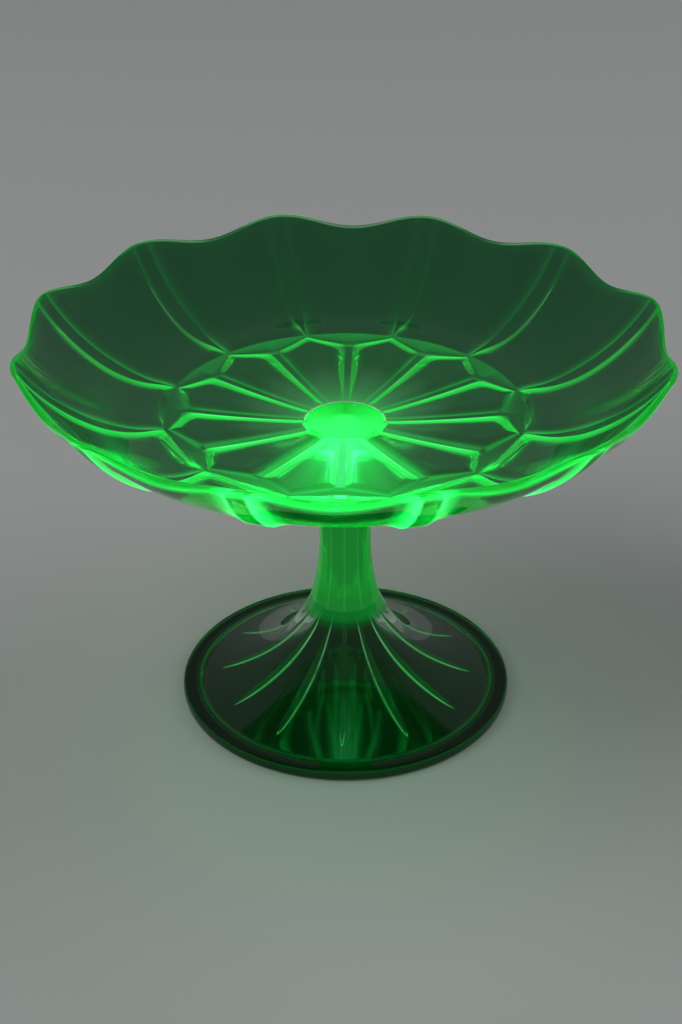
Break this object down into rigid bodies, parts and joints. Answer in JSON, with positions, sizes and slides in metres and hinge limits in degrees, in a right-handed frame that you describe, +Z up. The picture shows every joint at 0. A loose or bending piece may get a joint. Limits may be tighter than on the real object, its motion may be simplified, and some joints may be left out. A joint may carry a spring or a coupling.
{
  "type": "footed glass dish",
  "caption": "Footed pressed-glass comport: a wide shallow bowl with a scalloped rim, ribbed on its underside, on a faceted waisted stem and a hollow round foot with pointed ribs.",
  "frame": {"origin": "on the table, under the centre of the foot", "axes": "+Z up along the stem's axis; the points of the rim lie 15 degrees to either side of +X and +Y"},
  "size_m": [0.2244, 0.2244, 0.1471],
  "materials": {
    "uranium_glass": "fire-polished pressed glass, yellow-green, glowing green under ultraviolet light",
    "joint_glass": "fire-polished glass, yellow-green, glowing green under ultraviolet light",
    "stem_glass": "fire-polished pressed glass, yellow-green, glowing green under ultraviolet light",
    "foot_glass": "fire-polished pressed glass, yellow-green, glowing green under ultraviolet light"
  },
  "bodies": {
    "root": {"bowl": "uranium_glass", "wafer": "joint_glass", "stem": "stem_glass", "foot": "foot_glass"}
  },
  "joints": []
}
